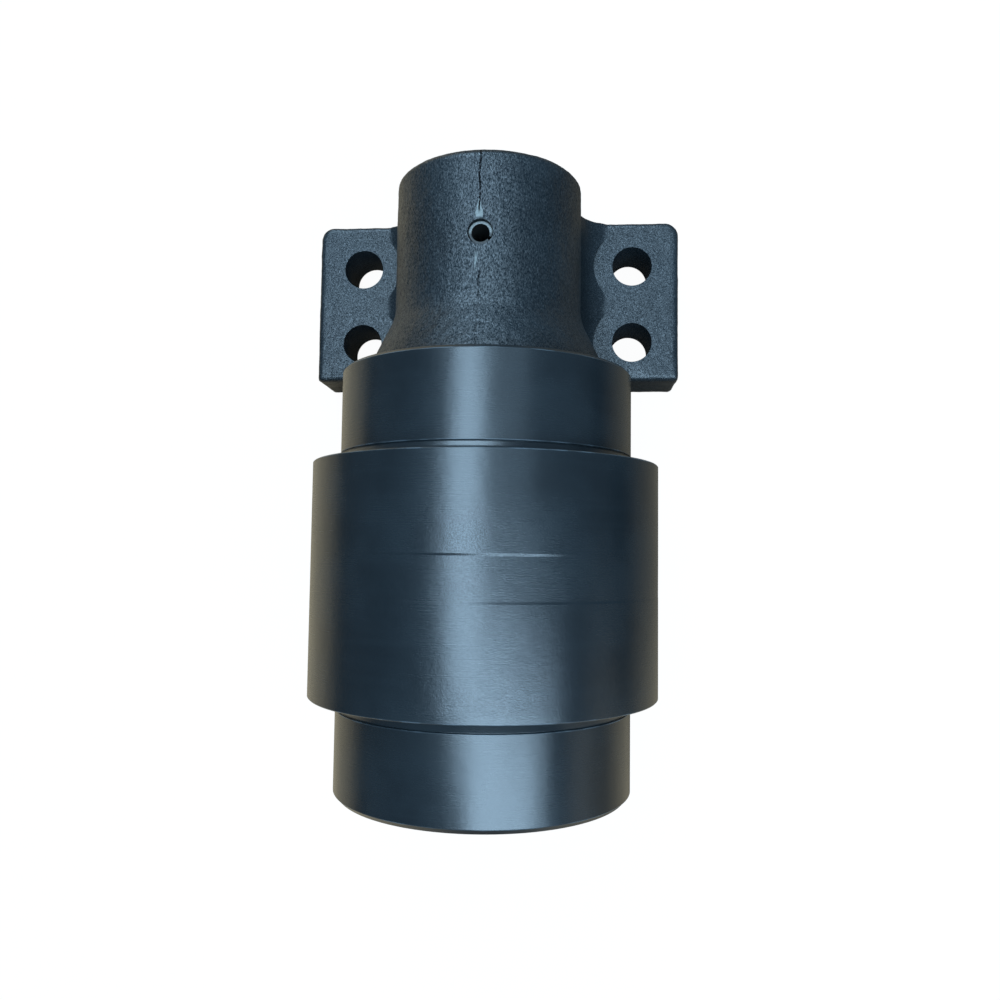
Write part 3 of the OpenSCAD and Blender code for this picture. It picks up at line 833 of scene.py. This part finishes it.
def make_bracket():
    """The casting: blanks melted into one skin, roughened, then machined where the real one is."""
    casting = melted_blanks()
    roughen(casting)
    face_off(casting)
    clamp_to_cad(casting, "bracket")
    combine(casting, "DIFFERENCE", *bracket_cutters())
    casting.data.set_sharp_from_angle(angle=math.radians(42))
    return casting


def make_hub():
    """The bracket's turned hub, which reaches into the shell and carries the thrust washer."""
    back = SEAL_FACE - 3
    outline = rounded([(BORE_R, back), (HUB_R, back), (HUB_R, HUB_END, 0.5), (BORE_R, HUB_END, 0.3)])
    return lathe("bracket_hub", outline, 160)


# ---------------------------------------------------------------- small parts that show


def make_spring_pin():
    """Slotted tube with tapered ends."""
    slot_half, slot_at = 0.9, math.radians(-32)
    bore_r = PIN_R - PIN_WALL
    outline = rounded([
        (bore_r, PIN_BOTTOM, 0.2), (PIN_R - 0.6, PIN_BOTTOM, 0.2), (PIN_R, PIN_BOTTOM + 1.2, 0.3),
        (PIN_R, PIN_TOP - 0.8, 0.3), (PIN_R - 0.5, PIN_TOP, 0.2), (bore_r, PIN_TOP, 0.25),
    ], steps=3)
    opening = math.asin(slot_half / PIN_R)
    return lathe("spring_pin_slotted", outline, 64, place=upright(0, PIN_Y),
                 start=slot_at + opening, sweep=2 * math.pi - 2 * opening)


def make_shaft():
    """Ground shaft: chamfered ends, centre drilling, O-ring groove, pin hole and three tapped holes."""
    start, end = -high("shaft", Y), -low("shaft", Y)
    chamfer = 1.5
    groove_start, groove_r = SEAL_FACE - 24, SHAFT_R - 2.8
    groove_end = groove_start + 4
    tap_pitch_r, tap_r, tap_depth = 14.5, 5, 24
    outline = rounded([
        (0, start + 6), (3.5, start, 0.2), (SHAFT_R - chamfer, start, 0.2), (SHAFT_R, start + chamfer, 0.2),
        (SHAFT_R, groove_start, 0.15), (groove_r, groove_start), (groove_r, groove_end),
        (SHAFT_R, groove_end, 0.15),
        (SHAFT_R, end - chamfer, 0.2), (SHAFT_R - chamfer, end, 0.2), (0, end),
    ], closed=False)
    shaft = lathe("shaft_ground", outline, 128, closed=False)
    cutters = [rod("pin_cut", PIN_HOLE_R, AXIS_Z - BOSS_R, AXIS_Z + BOSS_R, 64, upright(0, PIN_Y))]
    for k in range(3):
        place = beside_axis(tap_pitch_r, math.radians(120 * k))
        cutters.append(rod("tapped_cut", tap_r, end - tap_depth, end + 1, 48, place))
    combine(shaft, "DIFFERENCE", *cutters)
    shaft.data.set_sharp_from_angle(angle=math.radians(35))
    return shaft


def make_end_cover():
    """Pressed and turned cover, dished towards the plug, with its O-ring groove."""
    rim_r = high("end_cover", X)
    seat = -high("end_cover", Y)
    rim_end = seat + 9.6
    bore_r = 8.0
    dish_r = rim_r - 7
    groove_r, groove_start, groove_end = rim_r - 2.7, seat + 3, seat + 6.6
    outline = rounded([
        (bore_r, WEB_START, 0.2), (dish_r - 7, WEB_START, 3.0), (dish_r, seat + 4, 2.0), (dish_r, seat, 0.4),
        (rim_r - 1, seat, 0.3), (rim_r, seat + 1, 0.3),
        (rim_r, groove_start), (groove_r, groove_start), (groove_r, groove_end), (rim_r, groove_end),
        (rim_r, rim_end, 0.4), (rim_r - 9, rim_end, 1.2), (rim_r - 11, COVER_FACE, 1.2),
        (bore_r, COVER_FACE, 0.4),
    ])
    return lathe("end_cover_turned", outline, 160)


def make_filler_plug():
    """Filler plug with a domed head and a hexagon socket."""
    head_r = high("filler_plug", X)
    top = -low("filler_plug", Y)
    thread_r = 7.95
    socket_r, socket_lead_r, socket_depth = 4.6, 5.3, 4.5
    outline = rounded([
        (0, WEB_START), (thread_r - 1, WEB_START, 0.2), (thread_r, WEB_START + 1, 0.2),
        (thread_r, PLUG_START), (head_r, PLUG_START, 0.25), (head_r, top - 0.9, 0.4),
        (head_r - 1.0, top, 0.5), (0, top),
    ], closed=False)
    socket = [(0, top - socket_depth), (socket_r, top - socket_depth), (socket_r, top - 0.5),
              (socket_lead_r, top + 0.3), (socket_lead_r, top + 1), (0, top + 1)]
    plug = lathe("filler_plug_head", outline, 96, closed=False)
    combine(plug, "DIFFERENCE", turned("socket_cut", socket, 6, closed=False))
    plug.data.set_sharp_from_angle(angle=math.radians(30))
    return plug


def make_snap_ring():
    """Internal snap ring: widest opposite its opening, with an eyed lug on each end."""
    start, end = -high("snap_ring", Y), -low("snap_ring", Y)
    outer_r = high("snap_ring", X)
    edge = 0.25
    least_w, extra_w = 3.5, 1.2
    half_open = math.radians(8.0)
    lug_pitch_r, lug_turn, lug_r, eye_r = 41.4, math.radians(11.5), 3.4, 1.3
    steps = 120
    bm = bmesh.new()
    rings = []
    for k in range(steps + 1):
        a = half_open + (2 * math.pi - 2 * half_open) * k / steps
        inner_r = outer_r - (least_w + extra_w * (1 - math.cos(a)) / 2)
        section = rounded([(inner_r, start, edge), (outer_r, start, edge), (outer_r, end, edge),
                           (inner_r, end, edge)], steps=2)
        rings.append([bm.verts.new(roller_point(r, s, a)) for r, s in section])
    n = len(rings[0])
    for a, b in zip(rings, rings[1:]):
        for i in range(n):
            bm.faces.new((a[i], a[(i + 1) % n], b[(i + 1) % n], b[i]))
    bm.faces.new(list(reversed(rings[0])))
    bm.faces.new(rings[-1])
    bmesh.ops.recalc_face_normals(bm, faces=bm.faces)
    ring = new_object("snap_ring_body", bm)
    lug_outline = rounded([(0, start), (lug_r, start, edge), (lug_r, end, edge), (0, end)], closed=False)
    for side in (-1, 1):
        place = beside_axis(lug_pitch_r, side * lug_turn)
        combine(ring, "UNION", turned("lug", lug_outline, 40, place=place, closed=False))
        combine(ring, "DIFFERENCE", rod("eye_cut", eye_r, start - 1, end + 1, 32, place))
    ring.data.validate()
    ring.data.set_sharp_from_angle(angle=math.radians(40))
    return ring


MAKERS = (
    ("roller_shell", make_shell),
    ("bracket", make_bracket),
    ("bracket", make_hub),
    ("spring_pin", make_spring_pin),
    ("shaft", make_shaft),
    ("end_cover", make_end_cover),
    ("filler_plug", make_filler_plug),
    ("snap_ring", make_snap_ring),
)
for node, make in MAKERS:
    dress(make(), node)

# The small parts inside keep their CAD meshes
replaced = {node for node, _ in MAKERS}
for node, obj in NODES.items():
    if node not in replaced:
        for slot in obj.material_slots:
            slot.material = LOOKS[SLOT_OF[node]]


# ---------------------------------------------------------------- floor, light and camera


def plane(name, width, length, z):
    """A flat rectangle about the origin, in metres."""
    mesh = bpy.data.meshes.new(name)
    w, d = width / 2, length / 2
    mesh.from_pydata([(-w, -d, z), (w, -d, z), (w, d, z), (-w, d, z)], [], [(0, 1, 2, 3)])
    obj = bpy.data.objects.new(name, mesh)
    bpy.context.scene.collection.objects.link(obj)
    return obj


def make_floor():
    """A plain pale floor to the camera; to the light that the paint mirrors, a darker and warmer one."""
    floor = plane("floor", 12, 12, low("roller_shell", Z) * MM - 0.0005)
    s = Surface("floor")
    pale = s.node("ShaderNodeEmission")
    pale.inputs["Color"].default_value = (1.0, 1.0, 1.0, 1.0)
    pale.inputs["Strength"].default_value = 0.96
    diffuse = s.node("ShaderNodeBsdfDiffuse")
    diffuse.inputs["Color"].default_value = (0.03, 0.03, 0.03, 1.0)
    seen = s.node("ShaderNodeAddShader")
    s.link(pale.outputs[0], seen.inputs[0])
    s.link(diffuse.outputs[0], seen.inputs[1])
    # What the shell's flanks mirror: warm close by, dimmer on the right and far away, with painted shade
    # under the roller
    x, y, _ = s.axes()
    near_left = s.fade(x, -900, -250)
    right_level = s.fade(y, -120, -240, 0.32, 0.75)
    near_right = s.math("MULTIPLY_ADD", s.fade(x, -60, 120), s.math("SUBTRACT", right_level, 1.0), 1.0)
    near_right = s.product(near_right, s.fade(x, 130, 480, 1.0, 0.0))
    far_front = s.product(s.fade(y, -200, -330, 0.0, 0.5), s.fade(x, 150, 400))
    near_right = s.math("MAXIMUM", near_right, far_front)
    # Painted shade: the floor darkens under the roller, where its shadow and occlusion fall
    shade_under_roller = s.fade(s.math("ABSOLUTE", x), 70, 105, 0.3, 1.0)
    near = s.product(near_left, near_right, shade_under_roller)
    warm = s.node("ShaderNodeBsdfDiffuse")
    s.link(s.mix(near, (0.02, 0.02, 0.02), (0.46, 0.29, 0.165)), warm.inputs["Color"])
    choice = s.node("ShaderNodeMixShader")
    s.link(s.node("ShaderNodeLightPath").outputs["Is Camera Ray"], choice.inputs[0])
    s.link(warm.outputs[0], choice.inputs[1])
    s.link(seen.outputs[0], choice.inputs[2])
    s.link(choice.outputs[0], s.output.inputs["Surface"])
    floor.data.materials.append(s.material)


DAYLIGHT = (0.52, 0.77, 1.0)
WARM_CARD = (1.0, 0.96, 0.78)
PANEL_HEIGHT = 1.3


def area_light(name, size, radiance, colour, place, turn=0.0):
    """A soft box that faces down, or turned about Y; radiance is what a mirror would see of it."""
    light = bpy.data.lights.new(name, "AREA")
    light.shape = "RECTANGLE"
    light.size, light.size_y = size
    light.color = colour
    light.energy = radiance * math.pi * size[0] * size[1]
    obj = bpy.data.objects.new(name, light)
    bpy.context.scene.collection.objects.link(obj)
    obj.location = place
    obj.rotation_euler = (0, turn, 0)


def panel(name, x_range, y_range, radiance):
    """A soft box overhead, across the given X and Y."""
    size = (x_range[1] - x_range[0], y_range[1] - y_range[0])
    area_light(name, size, radiance, DAYLIGHT, (sum(x_range) / 2, sum(y_range) / 2, PANEL_HEIGHT))


def side_card(name, x, y_range, z_range, radiance):
    """A dim upright card that faces the roller from the right."""
    size = (z_range[1] - z_range[0], y_range[1] - y_range[0])
    area_light(name, size, radiance, WARM_CARD, (x, sum(y_range) / 2, sum(z_range) / 2), math.radians(90))


def make_world():
    """A white background to the camera, and a dim blue-grey one to everything else."""
    world = bpy.data.worlds.new("studio")
    bpy.context.scene.world = world
    world.use_nodes = True
    tree = world.node_tree
    tree.nodes.clear()
    out = tree.nodes.new("ShaderNodeOutputWorld")
    pale = tree.nodes.new("ShaderNodeBackground")
    pale.inputs["Color"].default_value = (1, 1, 1, 1)
    pale.inputs["Strength"].default_value = 1.0
    dim = tree.nodes.new("ShaderNodeBackground")
    dim.inputs["Color"].default_value = (0.62, 0.82, 1.0, 1)
    dim.inputs["Strength"].default_value = 0.20
    choice = tree.nodes.new("ShaderNodeMixShader")
    path = tree.nodes.new("ShaderNodeLightPath")
    tree.links.new(path.outputs["Is Camera Ray"], choice.inputs[0])
    tree.links.new(dim.outputs[0], choice.inputs[1])
    tree.links.new(pale.outputs[0], choice.inputs[2])
    tree.links.new(choice.outputs[0], out.inputs["Surface"])


def make_lights():
    """Soft boxes over the left, the free end, the right and the boss's end, and a dim card on the right."""
    panel("key", (-0.42, 0.05), (-0.29, 0.40), 12.5)
    panel("front_near", (-0.34, 0.46), (-0.42, -0.29), 16.5)
    panel("front_near_fade", (0.46, 0.76), (-0.42, -0.29), 7.0)
    panel("front_far", (-0.09, 1.15), (-1.0, -0.42), 13.5)
    panel("front_far_fade", (1.15, 1.60), (-1.0, -0.42), 5.5)
    panel("side_near", (0.05, 0.70), (-0.29, 0.04), 0.85)
    panel("side_far", (0.05, 0.86), (0.04, 0.40), 1.4)
    panel("back_fill", (-0.9, 0.9), (0.40, 1.05), 1.6)
    panel("back_strip", (-0.8, 0.25), (1.05, 2.2), 15.0)
    side_card("side_card", 1.4, (-1.3, -0.32), (0.02, 0.55), 0.55)


def make_camera():
    """A camera over the roller, a little to its right and turned back towards it."""
    camera = bpy.data.objects.new("camera", bpy.data.cameras.new("camera"))
    bpy.context.scene.collection.objects.link(camera)
    bpy.context.scene.camera = camera
    camera.data.lens = 30.76
    camera.data.sensor_width = 36
    camera.data.clip_start = 0.01
    camera.location = (0.0327, -0.1176, 0.4226)
    pitch, yaw, roll = 0.0648, 0.0750, 0.0127
    turn = Matrix.Rotation(yaw, 3, "Y") @ Matrix.Rotation(pitch, 3, "X") @ Matrix.Rotation(roll, 3, "Z")
    camera.rotation_euler = turn.to_euler()
    bpy.context.scene.view_settings.view_transform = "Standard"


make_floor()
make_world()
make_lights()
make_camera()
